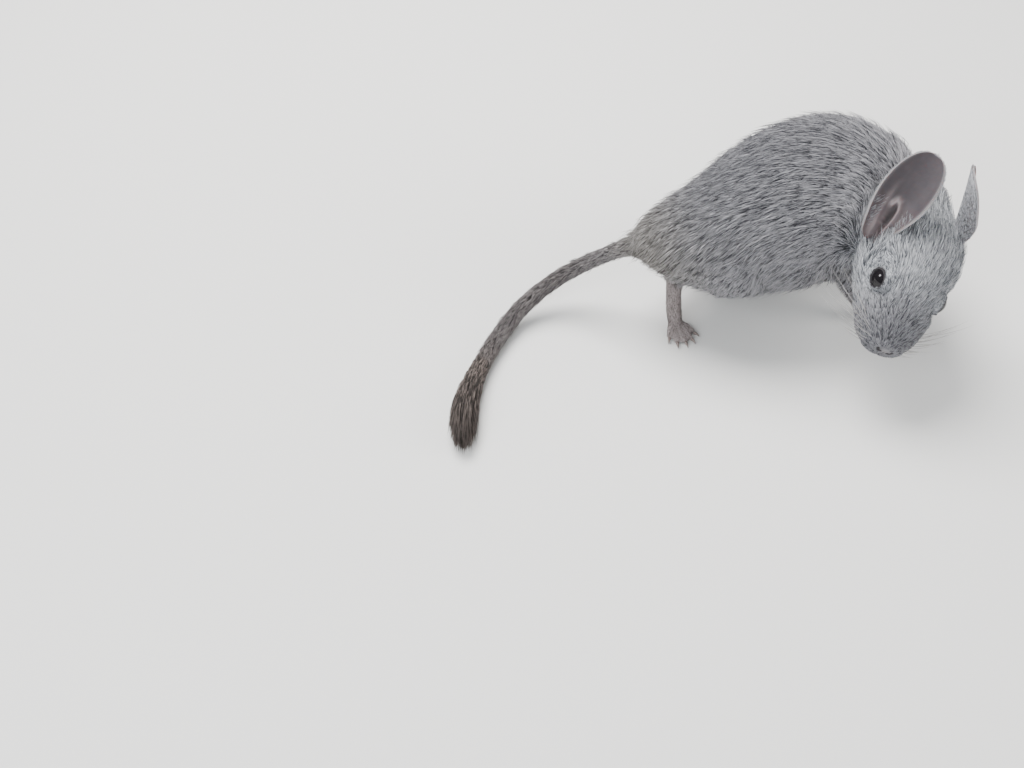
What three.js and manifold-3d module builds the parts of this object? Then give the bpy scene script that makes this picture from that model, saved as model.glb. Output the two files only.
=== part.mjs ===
// Young degu, life size, standing with an arched back and its head turned down over its right shoulder.
// Millimetres. X runs forward along the trunk, Y to the animal's left, Z up, and the floor is Z = 0.

import * as THREE from 'three';
import { LoftGeometry } from 'three/addons/geometries/LoftGeometry.js';
import { mergeVertices } from 'three/addons/utils/BufferGeometryUtils.js';
import Module from 'manifold-3d';

// Clear distance between neighbouring parts
const GAP = 0.3;

// Driving sizes of the animal, to the tips of its coat
const TRUNK_LENGTH = 82;
const TRUNK_WIDTH = 48;
const TRUNK_HEIGHT = 33;
const HEAD_LENGTH = 43.4;
const HEAD_WIDTH = 27.4;
const EAR_LENGTH = 24.5;
const EAR_HALF_WIDTH = 7.8;
const EYE_RADIUS = 3.4;
const LID_THICKNESS = 0.55;
const TAIL_RADIUS = 2.7;
const DIGIT_RADIUS = 1.05;
const CLAW_RADIUS = 0.55;

// Where the head sits on the neck and how it is turned, in degrees
const HEAD_SEAT = [29.8, -17.4, 40.6];
const HEAD_HEADING = -123;
const HEAD_PITCH = 23;
const HEAD_ROLL = -25;

const UP = new THREE.Vector3(0, 0, 1);
const FORWARD = new THREE.Vector3(1, 0, 0);
const radians = THREE.MathUtils.degToRad;

const wasm = await Module();
wasm.setup();

// A closed geometry as a solid that can be joined and cut
function solidOf(geometry) {
  const bare = new THREE.BufferGeometry();
  bare.setAttribute('position', geometry.getAttribute('position'));
  bare.setIndex(geometry.getIndex());
  const merged = mergeVertices(bare, 1e-4);
  const corners = merged.getIndex().array;
  const kept = [];
  for (let i = 0; i < corners.length; i += 3) {
    const [a, b, c] = [corners[i], corners[i + 1], corners[i + 2]];
    if (a !== b && b !== c && c !== a) kept.push(a, b, c);
  }
  return new wasm.Manifold(new wasm.Mesh({
    numProp: 3,
    vertProperties: new Float32Array(merged.getAttribute('position').array),
    triVerts: new Uint32Array(kept),
  }));
}

// The largest closed surface of a solid, without sealed hollows or loose scraps
function largestOf(solid) {
  const pieces = solid.decompose();
  return pieces.reduce((best, piece) => (piece.volume() > best.volume() ? piece : best));
}

function geometryOf(solid) {
  const data = solid.getMesh();
  const geometry = new THREE.BufferGeometry();
  geometry.setAttribute('position', new THREE.BufferAttribute(new Float32Array(data.vertProperties), 3));
  geometry.setIndex(new THREE.BufferAttribute(new Uint32Array(data.triVerts), 1));
  geometry.computeVertexNormals();
  return geometry;
}

const smooth = (points) => new THREE.CatmullRomCurve3(
  points.map((p) => new THREE.Vector3(...p)),
  false,
  'centripetal',
);

// A rounded body along stations [x, y, z, half width, height above, depth below its centre line].
// ref is the direction that stays above the sections, domes are the end bulges in half widths,
// and warp may move each surface point.
function loft(
  stations,
  { sides = 16, steps = 3, grow = 0, domes = [0.7, 0.7], ref = UP, power = 2, warp } = {},
) {
  const path = smooth(stations.map((s) => s.slice(0, 3)));
  const radii = smooth(stations.map((s) => s.slice(3, 6)));
  const sections = [];
  const addRing = (t, push, shrink) => {
    const tangent = path.getTangent(t);
    const side = new THREE.Vector3().crossVectors(ref, tangent).normalize();
    const top = new THREE.Vector3().crossVectors(tangent, side);
    const size = radii.getPoint(t).addScalar(grow).multiplyScalar(shrink);
    const centre = path.getPoint(t).addScaledVector(tangent, push);
    const ring = [];
    for (let i = 0; i < sides; i += 1) {
      const angle = (2 * Math.PI * i) / sides;
      const c = Math.sign(Math.cos(angle)) * Math.abs(Math.cos(angle)) ** (2 / power);
      const s = Math.sign(Math.sin(angle)) * Math.abs(Math.sin(angle)) ** (2 / power);
      const point = centre.clone().addScaledVector(side, c * size.x);
      point.addScaledVector(top, s * (s > 0 ? size.y : size.z));
      ring.push(warp ? warp(point, centre) : point);
    }
    sections.push(ring);
  };
  const dome = [72, 48, 24].map(radians);
  const reach = (t, share) => share * (radii.getPoint(t).x + grow);
  if (domes[0] > 0) dome.forEach((a) => addRing(0, -reach(0, domes[0]) * Math.sin(a), Math.cos(a)));
  const rings = (stations.length - 1) * steps;
  for (let i = 0; i <= rings; i += 1) addRing(i / rings, 0, 1);
  dome.reverse();
  if (domes[1] > 0) dome.forEach((a) => addRing(1, reach(1, domes[1]) * Math.sin(a), Math.cos(a)));
  return new LoftGeometry(sections, { closed: true, capStart: true, capEnd: true });
}

// A point pushed away from the centre line wherever it lies near one of the named swellings
function swell(forms) {
  return (point, centre) => {
    const out = point.clone().sub(centre).normalize();
    let push = 0;
    for (const { at, size, rise } of forms) {
      const d = point.distanceTo(new THREE.Vector3(...at)) / size;
      push += rise * Math.exp(-d * d);
    }
    return point.addScaledVector(out, push);
  };
}

// The half space under the floor, as a slab that trims every sole flat
const underFloor = solidOf(new THREE.BoxGeometry(400, 400, 20).translate(0, 0, -10));

// Trunk
const rump = -TRUNK_LENGTH * 0.525;
const half = TRUNK_WIDTH / 2;
const trunkStations = [
  [rump, 1, TRUNK_HEIGHT - 5, 4.5, 4.5, 4.5],
  [rump + 4, 1, TRUNK_HEIGHT - 5, half * 0.34, half * 0.3, half * 0.37],
  [rump + 11, 0.5, TRUNK_HEIGHT - 4.7, half * 0.54, half * 0.46, half * 0.6],
  [rump + 23, -0.5, TRUNK_HEIGHT - 3.5, half * 0.78, half * 0.71, half * 0.87],
  [rump + 37, -0.5, TRUNK_HEIGHT - 0.8, half * 0.94, half * 0.94, half * 0.97],
  [rump + 51, 0, TRUNK_HEIGHT + 1, half, half * 1.02, half * 0.98],
  [rump + 61, -1.5, TRUNK_HEIGHT + 1.5, half * 0.93, half * 0.95, half * 0.92],
  [rump + 69, -4.5, TRUNK_HEIGHT + 2, half * 0.74, half * 0.77, half * 0.76],
];
const trunkForms = swell([
  { at: [21, -21, 32], size: 10, rise: 1.2 },
  { at: [23, 19, 32], size: 10, rise: 1.2 },
]);
const trunkShape = (grow) => loft(trunkStations, {
  sides: 26, steps: 2, grow, domes: [0.5, 0.55], warp: trunkForms,
});

// Head, in its own frame: x to the nose, y to the animal's left, z through the crown
const headGroup = new THREE.Group();
const heading = radians(HEAD_HEADING);
const pitch = radians(HEAD_PITCH);
const roll = radians(HEAD_ROLL);
const nosewards = new THREE.Vector3(
  Math.cos(heading) * Math.cos(pitch),
  Math.sin(heading) * Math.cos(pitch),
  -Math.sin(pitch),
);
const level = new THREE.Vector3(-Math.sin(heading), Math.cos(heading), 0);
const leftwards = level.clone().applyAxisAngle(nosewards, roll);
const crownwards = new THREE.Vector3().crossVectors(nosewards, leftwards);
const headMatrix = new THREE.Matrix4().makeBasis(nosewards, leftwards, crownwards);
headMatrix.setPosition(new THREE.Vector3(...HEAD_SEAT));
headGroup.applyMatrix4(headMatrix);

const wide = HEAD_WIDTH / 2;
const headStations = [
  [-3, 0, -1.4, wide * 0.72, wide * 0.42, wide * 0.72],
  [4, 0, -0.8, wide * 0.92, wide * 0.72, wide * 0.86],
  [12, 0, 0.4, wide, wide * 0.98, wide * 0.97],
  [20, 0, 0.3, wide * 0.97, wide * 0.96, wide * 0.95],
  [27, 0, -0.3, wide * 0.87, wide * 0.81, wide * 0.87],
  [33.5, 0, -1, wide * 0.72, wide * 0.61, wide * 0.73],
  [38.3, 0, -1.6, wide * 0.58, wide * 0.45, wide * 0.57],
  [HEAD_LENGTH - 2.2, 0, -1.8, wide * 0.42, wide * 0.31, wide * 0.39],
];
const bothSides = (forms) => forms.flatMap(({ at: [x, y, z], size, rise }) => [
  { at: [x, y, z], size, rise },
  { at: [x, -y, z], size, rise },
]);
const headForms = swell(bothSides([
  { at: [26, 10, 8], size: 4.5, rise: 0.8 },
  { at: [15, 13, -3], size: 7, rise: 0.8 },
  { at: [38.5, 7.5, -3.5], size: 4.5, rise: 0.6 },
]));
const headShape = (grow) => loft(headStations, {
  sides: 26, steps: 2, grow, domes: [0.55, 0.45], power: 2.15, warp: headForms,
});

// Eyes, deep in the sides of the head, each behind its two lids
const EYE_PLACE = [26.4, 7.8, 4.8];
const EYE_GAZE = [0.3, 1, 0.3];
function eyeFrame(side) {
  const place = new THREE.Vector3(EYE_PLACE[0], side * EYE_PLACE[1], EYE_PLACE[2]);
  const gaze = new THREE.Vector3(EYE_GAZE[0], side * EYE_GAZE[1], EYE_GAZE[2]).normalize();
  return { place, gaze };
}
const eyeBall = (side, radius, columns, rows) => {
  const { place } = eyeFrame(side);
  return new THREE.SphereGeometry(radius, columns, rows).translate(place.x, place.y, place.z);
};
function lidOpening(side) {
  const { place, gaze } = eyeFrame(side);
  const hole = new THREE.CylinderGeometry(EYE_RADIUS * 0.8, EYE_RADIUS * 0.72, EYE_RADIUS * 2, 16);
  hole.translate(0, EYE_RADIUS, 0).scale(1.08, 1, 0.9);
  const turn = new THREE.Quaternion().setFromUnitVectors(new THREE.Vector3(0, 1, 0), gaze);
  return hole.applyQuaternion(turn).translate(place.x, place.y, place.z);
}

// The line of the mouth: a thin slit a little way into the muzzle, on its underside and round its sides
function mouthSlit() {
  const slab = new THREE.BoxGeometry(15, 30, 0.4);
  slab.rotateY(radians(9)).translate(HEAD_LENGTH - 8.5, 0, -6.4);
  return solidOf(slab).subtract(solidOf(headShape(-1.3)));
}

// The cleft of the upper lip, from between the nostrils down to the mouth
const lipCleft = solidOf(new THREE.BoxGeometry(3, 0.45, 4.6).translate(HEAD_LENGTH + 0.4, 0, -4.6));

function nostril(side) {
  const pit = new THREE.SphereGeometry(1, 10, 8).scale(0.8, 0.42, 0.75);
  pit.rotateX(side * radians(35)).translate(HEAD_LENGTH - 0.4, side * 1.55, -0.9);
  return solidOf(pit);
}

function makeHead() {
  let head = solidOf(headShape(0));
  for (const side of [-1, 1]) {
    head = head.add(solidOf(eyeBall(side, EYE_RADIUS + GAP + LID_THICKNESS, 16, 12)));
  }
  for (const side of [-1, 1]) {
    head = head.subtract(solidOf(eyeBall(side, EYE_RADIUS + GAP, 16, 12)));
    head = head.subtract(solidOf(lidOpening(side)));
    head = head.subtract(nostril(side));
  }
  return largestOf(head.subtract(mouthSlit()).subtract(lipCleft));
}

// Ears: a thin cupped sheet, rolled at its base and open at its round tip, with cartilage folds inside.
// In the ear's own frame z runs to the tip and the hollow faces x.
const EARS = {
  ear_right: { side: -1, root: [13.9, -12.7, 5.0], axis: [-0.61, 0.02, 0.79], facing: [0.66, -0.55, 0.52] },
  ear_left: { side: 1, root: [7.4, 8.0, 6.2], axis: [-0.32, -0.33, 0.85], facing: [-0.15, 0.94, 0.3] },
};
const EAR_RISES = 11;
const EAR_ACROSS = 12;
const EAR_ROOT_DEPTH = 3.5;

function earGeometry({ side, root, axis, facing }) {
  const tip = new THREE.Vector3(...axis).normalize();
  const hollow = new THREE.Vector3(...facing).projectOnPlane(tip).normalize();
  const across = new THREE.Vector3().crossVectors(tip, hollow);
  const base = new THREE.Vector3(...root);
  const fold = (u, v, u0, v0, du, dv) => Math.exp(-(((u - u0) / du) ** 2) - ((v - v0) / dv) ** 2);
  const sections = [];
  for (let i = 0; i <= EAR_RISES; i += 1) {
    const u = Math.sin((i / EAR_RISES) * Math.PI * 0.5);
    const widening = THREE.MathUtils.smoothstep(u, 0, 0.6);
    const opening = THREE.MathUtils.smoothstep(u, 0.1, 0.8);
    const reach = EAR_HALF_WIDTH * (0.84 + 0.16 * widening) * Math.max(Math.sqrt(1 - u ** 5), 0.13);
    const bend = THREE.MathUtils.lerp(4.6, 11, opening);
    const thick = THREE.MathUtils.lerp(0.95, 0.6, u);
    const height = -EAR_ROOT_DEPTH + (EAR_LENGTH + EAR_ROOT_DEPTH) * u;
    const place = (v, offset) => {
      const angle = (v * reach) / bend;
      const x = bend * (1 - Math.cos(angle)) + offset * Math.cos(angle) - 2.2 * u * u;
      const y = side * (bend * Math.sin(angle) - offset * Math.sin(angle));
      const point = base.clone().addScaledVector(tip, height);
      return point.addScaledVector(hollow, x).addScaledVector(across, y);
    };
    const outer = [];
    const inner = [];
    for (let j = 0; j <= EAR_ACROSS; j += 1) {
      const v = (2 * j) / EAR_ACROSS - 1;
      const rim = 0.35 * Math.abs(v) ** 6;
      const ridge = 1.1 * fold(u, v, 0.34, -0.05 * side, 0.09, 0.32)
        + 0.8 * fold(u, v, 0.5, 0.35, 0.14, 0.14)
        + 0.7 * fold(u, v, 0.2, -0.45, 0.08, 0.2);
      outer.push(place(v, -thick / 2));
      inner.push(place(v, thick / 2 + rim + ridge));
    }
    const ring = [...outer, ...inner.reverse()];
    sections.push(side > 0 ? ring.reverse() : ring);
  }
  return new LoftGeometry(sections, { closed: true, capStart: true, capEnd: true });
}

const atHead = (x, y, z) => new THREE.Vector3(x, y, z).applyMatrix4(headMatrix).toArray();

// Neck, bent sideways and down from the front of the trunk to the back of the head
const neckStations = [
  [15, -3, TRUNK_HEIGHT + 1, 17, 16, 17],
  [24, -7, TRUNK_HEIGHT + 0.5, 15.4, 13.4, 16],
  [...atHead(-2.5, 1.5, -5.4), 11.8, 9.8, 13],
  [...atHead(6, 0.5, -3.5), 10, 8, 10],
];
const neckShape = (grow) => loft(neckStations, { sides: 22, steps: 2, domes: [0.3, 0.3], grow });

// Legs: the upper length from inside the trunk to elbow or knee, and the lower length on to wrist or
// ankle, as stations [x, y, z, radius]
const LEGS = {
  foreleg_right: {
    upper: [[21, -9, 31, 8], [17.5, -14, 23, 7], [14.8, -16.4, 15.8, 4.6]],
    lower: [[15, -16.2, 16.4, 4.4], [17.4, -16.6, 11.2, 3.7], [20.2, -17.3, 6, 2.6]],
  },
  foreleg_left: {
    upper: [[25, 6, 31, 8], [22.5, 11, 23, 7], [20, 14, 15.8, 4.6]],
    lower: [[20.4, 14, 16.4, 4.4], [23.6, 13.5, 11.2, 3.7], [27, 13, 6, 2.6]],
  },
  hindleg_right: {
    upper: [[-27, -7.5, 27, 8], [-22, -11.4, 25.5, 9.9], [-15.5, -12.8, 23.2, 8.2]],
    lower: [[-18, -12, 22.4, 6.6], [-26.5, -8, 21, 5.8], [-32, -3.8, 17.5, 3.4]],
  },
  hindleg_left: {
    upper: [[-25, 8, 27, 9], [-19, 12.8, 22.5, 9.8], [-11.5, 16, 16.5, 6.4]],
    lower: [[-12.5, 16, 15.8, 6], [-18.5, 15.7, 11, 4.8], [-25, 15.1, 6, 3.1]],
  },
};
function legShape(name, grow) {
  const { upper, lower } = LEGS[name];
  const style = { sides: 14, steps: 2, grow, domes: [0.7, 0.7] };
  const length = (points, ref) => {
    const stations = points.map(([x, y, z, radius]) => [x, y, z, radius, radius, radius]);
    return solidOf(loft(stations, { ...style, ref }));
  };
  return length(upper, FORWARD).add(length(lower, UP));
}

// Feet: the sole from wrist or heel to the roots of the digits, then the digits with their angles
const FEET = {
  forepaw_right: {
    leg: 'foreleg_right', heading: -18, palm: 2.9,
    spread: [-34, -12, 10, 32], reach: [3.4, 4.6, 4.6, 3.6],
    sole: [[20.2, -17.3, 6.6, 2.3, 2.3, 2.3], [20.8, -17.5, 3.2, 2.3, 2.2, 2.2],
      [23.6, -18.4, 1.7, 3, 1.9, 1.9]],
  },
  forepaw_left: {
    leg: 'foreleg_left', heading: 6, palm: 2.9,
    spread: [-32, -10, 12, 34], reach: [3.6, 4.6, 4.6, 3.4],
    sole: [[27, 13, 6.6, 2.3, 2.3, 2.3], [27.8, 13, 3.2, 2.3, 2.2, 2.2], [30.8, 13.3, 1.7, 3, 1.9, 1.9]],
  },
  hindfoot_right: {
    leg: 'hindleg_right', heading: -84, palm: 2.6,
    spread: [-30, -14, 0, 13, 29], reach: [3.6, 5.6, 6.1, 5.7, 4],
    sole: [[-33.2, -1.8, 16, 2.7, 2.7, 2.7], [-33.8, -3.8, 10.5, 2.3, 2.3, 2.3],
      [-34, -6.2, 5, 2.5, 2.3, 2.3], [-33.9, -7.9, 1.9, 2.8, 2, 2]],
  },
  hindfoot_left: {
    leg: 'hindleg_left', heading: 12, palm: 2.9,
    spread: [-36, -14, 0, 14, 34], reach: [4, 6.2, 6.8, 6.2, 4],
    sole: [[-26.4, 15, 5.2, 2.6, 2.4, 2.4], [-23, 15.6, 2.6, 2.6, 2.2, 2.4],
      [-17, 16.9, 2, 2.6, 2, 2.2], [-11.5, 18, 1.8, 3.1, 1.9, 1.9]],
  },
};

// One digit from the sole's front to its flat end, and its claw beyond that end
function digit(start, angle, length) {
  const along = new THREE.Vector3(Math.cos(angle), Math.sin(angle), 0);
  const at = (distance, z) => {
    const p = start.clone().addScaledVector(along, distance);
    return [p.x, p.y, z];
  };
  const r = DIGIT_RADIUS;
  const toe = loft([
    [...at(-1.6, 1.5), r * 1.1, r * 1.1, r * 1.1],
    [...at(length * 0.35, 1.75), r * 1.05, r * 1.05, r * 1.05],
    [...at(length * 0.75, 1.2), r, r, r],
    [...at(length, 0.95), r * 0.8, r * 0.8, r * 0.8],
  ], { sides: 8, steps: 1, domes: [0, 0] });
  const c = CLAW_RADIUS;
  const claw = loft([
    [...at(length + GAP, 1.05), c * 0.75, c, c],
    [...at(length + GAP + 0.7, 1.05), c * 0.65, c * 0.8, c * 0.8],
    [...at(length + GAP + 1.35, 0.8), c * 0.42, c * 0.5, c * 0.5],
    [...at(length + GAP + 1.8, 0.5), c * 0.2, c * 0.22, c * 0.22],
  ], { sides: 6, steps: 1, domes: [0, 0] });
  return { toe, claw };
}

function makeFoot({ leg, heading: turn, spread, reach, palm, sole }) {
  const front = sole[sole.length - 1];
  let foot = solidOf(loft(sole, { sides: 12, steps: 2, domes: [0.4, 0.6], ref: FORWARD }));
  const claws = [];
  const facing = radians(turn);
  spread.forEach((angle, i) => {
    const offset = palm * (0.72 * (2 * i / (spread.length - 1) - 1));
    const start = new THREE.Vector3(front[0], front[1], 0);
    start.x += -Math.sin(facing) * offset + Math.cos(facing) * 1.2;
    start.y += Math.cos(facing) * offset + Math.sin(facing) * 1.2;
    const { toe, claw } = digit(start, facing + radians(angle), reach[i]);
    foot = foot.add(solidOf(toe));
    claws.push(solidOf(claw));
  });
  foot = foot.subtract(underFloor).subtract(legShape(leg, GAP)).subtract(grownTrunk);
  return { foot: largestOf(foot), claws };
}

// Tail: one curve from the rump down to the floor and round to the animal's right
const TAIL_POINTS = [
  [rump + 2, 1, 28.5], [-48, 4.2, 24], [-54, 7.6, 18.5], [-64.5, 10, 11], [-76, 6.7, 5.6],
  [-85.5, -1.4, 3.2], [-94.6, -13.2, 3.3], [-99.6, -22, 3.6], [-102.6, -29.5, 3.8],
  [-104.4, -36.5, 3.5],
];
const tailCurve = smooth(TAIL_POINTS);
const tailLength = tailCurve.getLength();
const TAIL_BASE = [0, 0.44];
const TAIL_MIDDLE = [0.44, 0.74];
const TAIL_BRUSH = [0.74, 0.93];

// Radius of the tail's outline at a share of its length: stout root, slender middle, fuller brush
function tailRadius(share) {
  const root = 1.2 * Math.exp(-((share / 0.06) ** 2));
  const brush = 1.1 * THREE.MathUtils.smoothstep(share, 0.76, 0.94);
  return TAIL_RADIUS * (0.86 + 0.14 * share) + root + brush;
}

// One length of the tail, begun a little inside the length before it so that it can be cut to meet it
const TAIL_LAP = 0.03;
function tailPart([from, to], { grow = 0, scale = () => 1 } = {}) {
  const start = Math.max(from - TAIL_LAP, 0);
  const count = Math.max(3, Math.round((to - start) * 16));
  const stations = [];
  for (let i = 0; i <= count; i += 1) {
    const share = start + ((to - start) * i) / count;
    const p = tailCurve.getPointAt(share);
    const r = tailRadius(share) * scale(share);
    stations.push([p.x, p.y, Math.max(p.z, r * 0.92), r, r, r]);
  }
  return solidOf(loft(stations, { sides: 14, steps: 1, domes: [0.3, 0.3], grow }));
}

// The brush: flat tapered locks in staggered rows, rooted in a slender core that ends before their tips.
// Each follows the tail's curve, stands out a little more towards its tip, and is bent off straight.
const LOCK_ROWS = 7;
const LOCKS_ROUND = 5;
const LOCK_LENGTH = 12;
const LOCK_WIDTH = 2.9;
const LOCK_THICKNESS = 0.9;
const LOCK_ROOTS = [0.725, 0.905];
// Each ring of a lock: how far along, its share of the width and thickness, and how far out it has come
const LOCK_RINGS = [[0, 0.8, 1, 0], [0.3, 1, 1, 0.6], [0.65, 0.8, 0.8, 0.95], [1, 0.12, 0.25, 0.9]];
const brushCore = (share) => THREE.MathUtils.lerp(1, 0.3, THREE.MathUtils.smoothstep(share, 0.745, 0.93));

// Seeded draws between -1 and 1, so that the locks come out alike each time
let seed = 20011;
function draw() {
  seed = (seed * 16807) % 2147483647;
  return (2 * seed) / 2147483647 - 1;
}

// A frame on the tail's curve at a share of its length, carried straight on past its end
function tailFrame(share) {
  const within = Math.min(share, 1);
  const along = tailCurve.getTangentAt(within);
  const centre = tailCurve.getPointAt(within).addScaledVector(along, (share - within) * tailLength);
  const side = new THREE.Vector3().crossVectors(UP, along).normalize();
  return { centre, along, side, top: new THREE.Vector3().crossVectors(along, side) };
}

function brushLock(share, turn, splay) {
  const length = LOCK_LENGTH * (1 + 0.14 * draw());
  const width = LOCK_WIDTH * (1 + 0.15 * draw());
  const lift = THREE.MathUtils.lerp(0.5, 2.7, splay) + 0.5 * draw();
  const bend = 0.3 * draw();
  const rootRadius = tailRadius(share) * brushCore(share) - 1.1;
  const sections = [];
  for (const [t, broad, thick, out] of LOCK_RINGS) {
    const { centre, side, top } = tailFrame(share + (t * length) / tailLength);
    const angle = turn + bend * t;
    const radial = side.clone().multiplyScalar(Math.cos(angle)).addScaledVector(top, Math.sin(angle));
    const across = top.clone().multiplyScalar(Math.cos(angle)).addScaledVector(side, -Math.sin(angle));
    const place = centre.addScaledVector(radial, rootRadius + (1.6 + lift) * out);
    place.z = Math.max(place.z, LOCK_THICKNESS * 0.5);
    const [w, h] = [(width * broad) / 2, (LOCK_THICKNESS * thick) / 2];
    const corner = (i, j) => place.clone().addScaledVector(across, i * w).addScaledVector(radial, j * h);
    sections.push([corner(-1, -1), corner(0, 1), corner(1, -1)]);
  }
  return solidOf(new LoftGeometry(sections, { closed: true, capStart: true, capEnd: true }));
}

function makeBrush() {
  let brush = tailPart(TAIL_BRUSH, { scale: brushCore });
  for (let row = 0; row < LOCK_ROWS; row += 1) {
    const splay = row / (LOCK_ROWS - 1);
    const share = THREE.MathUtils.lerp(...LOCK_ROOTS, splay);
    for (let i = 0; i < LOCKS_ROUND; i += 1) {
      const turn = (2 * Math.PI * (i + 0.5 * (row % 2) + 0.12 * draw())) / LOCKS_ROUND;
      brush = brush.add(brushLock(share + 0.004 * draw(), turn, splay));
    }
  }
  return brush.subtract(tailPart(TAIL_MIDDLE, { grow: GAP })).subtract(underFloor);
}

// Colours and finish
const finish = (name, color, roughness) =>
  new THREE.MeshStandardMaterial({ name, color, roughness, metalness: 0 });
const coat = finish('coat', 0xa9a7b2, 0.95);
const face = finish('face', 0xb9bcc6, 0.95);
const earSkin = finish('ear', 0x77707a, 0.75);
const footSkin = finish('foot', 0xa8979a, 0.8);
const tailCoat = finish('tail', 0x7a7276, 0.95);
const horn = finish('claw', 0x6b5f5c, 0.45);
const cornea = finish('eye', 0x0c0b0d, 0.08);

const degu = new THREE.Group();
function addNode(parent, name, geometry, material) {
  const mesh = new THREE.Mesh(geometry, material);
  mesh.name = name;
  parent.add(mesh);
}

// Trunk, neck and tail
const grownHead = solidOf(headShape(GAP).applyMatrix4(headMatrix));
const grownTrunk = solidOf(trunkShape(GAP));
addNode(degu, 'torso', geometryOf(largestOf(solidOf(trunkShape(0)).subtract(grownHead))), coat);
const neck = solidOf(neckShape(0)).subtract(grownTrunk).subtract(grownHead);
addNode(degu, 'neck', geometryOf(largestOf(neck)), coat);
const tailBase = tailPart(TAIL_BASE).subtract(grownTrunk).subtract(underFloor);
const tailMiddle = tailPart(TAIL_MIDDLE).subtract(tailPart(TAIL_BASE, { grow: GAP })).subtract(underFloor);
addNode(degu, 'tail_base', geometryOf(largestOf(tailBase)), tailCoat);
addNode(degu, 'tail_middle', geometryOf(largestOf(tailMiddle)), tailCoat);
addNode(degu, 'tail_brush', geometryOf(largestOf(makeBrush())), tailCoat);

// Head with its eyes and ears
addNode(headGroup, 'head', geometryOf(makeHead()), face);
addNode(headGroup, 'eye_right', geometryOf(solidOf(eyeBall(-1, EYE_RADIUS, 16, 12))), cornea);
addNode(headGroup, 'eye_left', geometryOf(solidOf(eyeBall(1, EYE_RADIUS, 16, 12))), cornea);
const headCutter = solidOf(headShape(GAP));
const headBack = new THREE.Matrix4().copy(headMatrix).invert();
const neckCutter = solidOf(neckShape(GAP).applyMatrix4(headBack));
const trunkCutter = solidOf(trunkShape(GAP).applyMatrix4(headBack));
for (const [name, ear] of Object.entries(EARS)) {
  const cup = solidOf(earGeometry(ear)).subtract(headCutter).subtract(neckCutter).subtract(trunkCutter);
  addNode(headGroup, name, geometryOf(largestOf(cup)), earSkin);
}
degu.add(headGroup);

// Legs and feet
for (const name of Object.keys(LEGS)) {
  const leg = legShape(name, 0).subtract(grownTrunk).subtract(grownHead);
  addNode(degu, name, geometryOf(largestOf(leg)), coat);
}
for (const [name, plan] of Object.entries(FEET)) {
  const { foot, claws } = makeFoot(plan);
  addNode(degu, name, geometryOf(foot), footSkin);
  claws.forEach((claw, i) => addNode(degu, `claw_${name}_${i + 1}`, geometryOf(claw), horn));
}

// The origin is on the floor below the middle of the whole model
degu.updateMatrixWorld(true);
const box = new THREE.Box3().setFromObject(degu, true);
const model = new THREE.Group();
degu.position.set(-(box.min.x + box.max.x) / 2, -(box.min.y + box.max.y) / 2, -box.min.z);
model.add(degu);

export default model;
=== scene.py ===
import math

import bmesh
import bpy
import numpy as np
from mathutils import Matrix, Vector
from mathutils.bvhtree import BVHTree
from mathutils.kdtree import KDTree


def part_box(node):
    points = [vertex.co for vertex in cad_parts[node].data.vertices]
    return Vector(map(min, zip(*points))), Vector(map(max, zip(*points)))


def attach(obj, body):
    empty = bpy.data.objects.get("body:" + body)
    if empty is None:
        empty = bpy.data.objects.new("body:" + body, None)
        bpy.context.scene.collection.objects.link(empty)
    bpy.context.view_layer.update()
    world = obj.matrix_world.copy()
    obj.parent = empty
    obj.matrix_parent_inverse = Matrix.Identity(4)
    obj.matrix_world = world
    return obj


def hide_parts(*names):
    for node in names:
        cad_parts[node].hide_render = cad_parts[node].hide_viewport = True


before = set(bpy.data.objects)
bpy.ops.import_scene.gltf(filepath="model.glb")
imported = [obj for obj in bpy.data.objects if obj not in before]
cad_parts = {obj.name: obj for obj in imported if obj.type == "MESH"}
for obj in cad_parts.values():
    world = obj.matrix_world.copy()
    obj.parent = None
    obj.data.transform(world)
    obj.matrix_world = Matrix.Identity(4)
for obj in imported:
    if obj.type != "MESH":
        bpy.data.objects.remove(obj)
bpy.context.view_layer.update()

# Camera: low over the animal's right side, looking down along its flank to the turned head, with a
# short tele lens. Places are written in millimetres from the point below the middle of the trunk,
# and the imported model's own right eye tells how far the frame lies from that point.
HEAD_SEAT = np.array((29.8, -17.4, 40.6))
HEAD_HEADING, HEAD_PITCH, HEAD_ROLL = (math.radians(a) for a in (-123, 23, -25))
EYE_PLACE = np.array((26.4, 7.8, 4.8))
CAMERA_PLACE = (-144.0, -249.4, 275.7)
CAMERA_RIGHT = (0.970, -0.243, 0.0)
CAMERA_FORWARD = (0.159, 0.635, -0.756)
CAMERA_LENS = 45.0


def unit(v):
    v = np.asarray(v, float)
    return v / np.maximum(np.linalg.norm(v, axis=-1, keepdims=True), 1e-9)


def head_axes():
    """Nosewards, leftwards and crownwards, as the rows of a matrix."""
    h, p = HEAD_HEADING, HEAD_PITCH
    nose = np.array((math.cos(h) * math.cos(p), math.sin(h) * math.cos(p), -math.sin(p)))
    level = np.array((-math.sin(h), math.cos(h), 0.0))
    left = level * math.cos(HEAD_ROLL) + np.cross(nose, level) * math.sin(HEAD_ROLL)
    return np.stack([nose, left, np.cross(nose, left)])


HEAD = head_axes()


def from_head(p):
    """Points of the head's own frame as points of the model, in millimetres."""
    return HEAD_SEAT + np.asarray(p, float) @ HEAD


def to_head(p):
    """Points of the model as points of the head's own frame."""
    return (np.asarray(p, float) - HEAD_SEAT) @ HEAD.T


eye_low, eye_high = (np.array(c) * 1000 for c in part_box("eye_right"))
SHIFT = (eye_low + eye_high) / 2 - from_head(EYE_PLACE * (1, -1, 1))


def metres(p):
    return (np.asarray(p, float) + SHIFT) * 0.001


def millimetres(p):
    return np.asarray(p, float) * 1000 - SHIFT


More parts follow.
